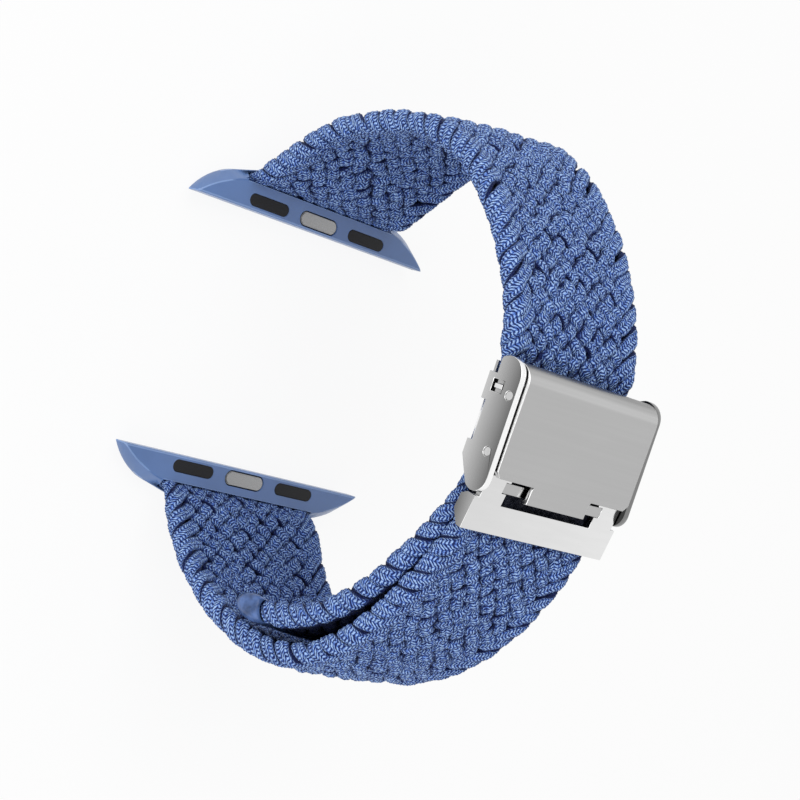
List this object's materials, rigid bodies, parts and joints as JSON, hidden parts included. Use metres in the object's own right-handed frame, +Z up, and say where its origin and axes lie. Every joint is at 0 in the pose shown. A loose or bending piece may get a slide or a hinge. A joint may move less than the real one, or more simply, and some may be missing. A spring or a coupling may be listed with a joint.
{
  "type": "watch strap",
  "caption": "Closed watch strap: braided cord halves with slide-in lug adapters, joined by a steel flap buckle with a hinged cover and clamp plate.",
  "frame": {"origin": "middle of the bounding box on the plane that the two lug adapters' outer faces stand on", "axes": "+X along the wrist's own axis, across the strap; +Y towards the strap half with the plain end; +Z up, from the watch towards the buckle"},
  "size_m": [0.038, 0.063, 0.0518],
  "materials": {
    "blue_enamel": "satin blue coating, smooth, a little shiny",
    "black_rubber": "matte black",
    "satin_steel": "satin",
    "spring_steel": "bright drawn wire",
    "blue_braid": "flat braid of flattened knitted cords, mid blue",
    "clear_blue": "translucent blue moulding",
    "polished_steel": "polished",
    "brushed_steel": "brushed across the strap"
  },
  "bodies": {
    "strap": {"upper_lug_adapter": "blue_enamel", "upper_near_pad": "black_rubber", "upper_far_pad": "black_rubber", "upper_button_spring": "spring_steel", "upper_strap_pin": "spring_steel", "lower_lug_adapter": "blue_enamel", "lower_near_pad": "black_rubber", "lower_far_pad": "black_rubber", "lower_button_spring": "spring_steel", "lower_strap_pin": "spring_steel", "upper_strap": "blue_braid", "strap_end_crimp": "satin_steel", "lower_strap": "blue_braid", "tail_end_cap": "clear_blue", "buckle_frame": "polished_steel", "anchor_bar": "polished_steel", "cover_hinge_pin": "polished_steel", "clamp_hinge_pin": "polished_steel", "strap_bar": "polished_steel"},
    "cover": {"buckle_cover": "brushed_steel"},
    "clamp": {"clamp_plate": "polished_steel", "catch_bar": "polished_steel"},
    "upper_button": {"upper_lock_button": "satin_steel"},
    "lower_button": {"lower_lock_button": "satin_steel"}
  },
  "joints": [
    {"name": "cover_hinge", "type": "hinge", "parent": "strap", "child": "cover", "pos_m": [0, 0.0029, 0.05049], "axis": [-1, 0, 0], "range_deg": [0, 35]},
    {"name": "clamp_plate_hinge", "type": "hinge", "parent": "strap", "child": "clamp", "pos_m": [0, -0.00296, 0.04972], "axis": [-1, 0, 0], "range_deg": [0, 25]},
    {"name": "upper_button_press", "type": "slide", "parent": "strap", "child": "upper_button", "axis": [0, 0, -1], "range_m": [0, 0.0006], "stiffness_N_per_m": 500, "springref_m": -0.0002, "deforming": ["upper_button_spring"]},
    {"name": "lower_button_press", "type": "slide", "parent": "strap", "child": "lower_button", "axis": [0, 0, -1], "range_m": [0, 0.0006], "stiffness_N_per_m": 500, "springref_m": -0.0002, "deforming": ["lower_button_spring"]}
  ],
  "couplings": [
    {"joint": "clamp_plate_hinge", "follows": "cover_hinge", "ratio": 0.7142}
  ]
}
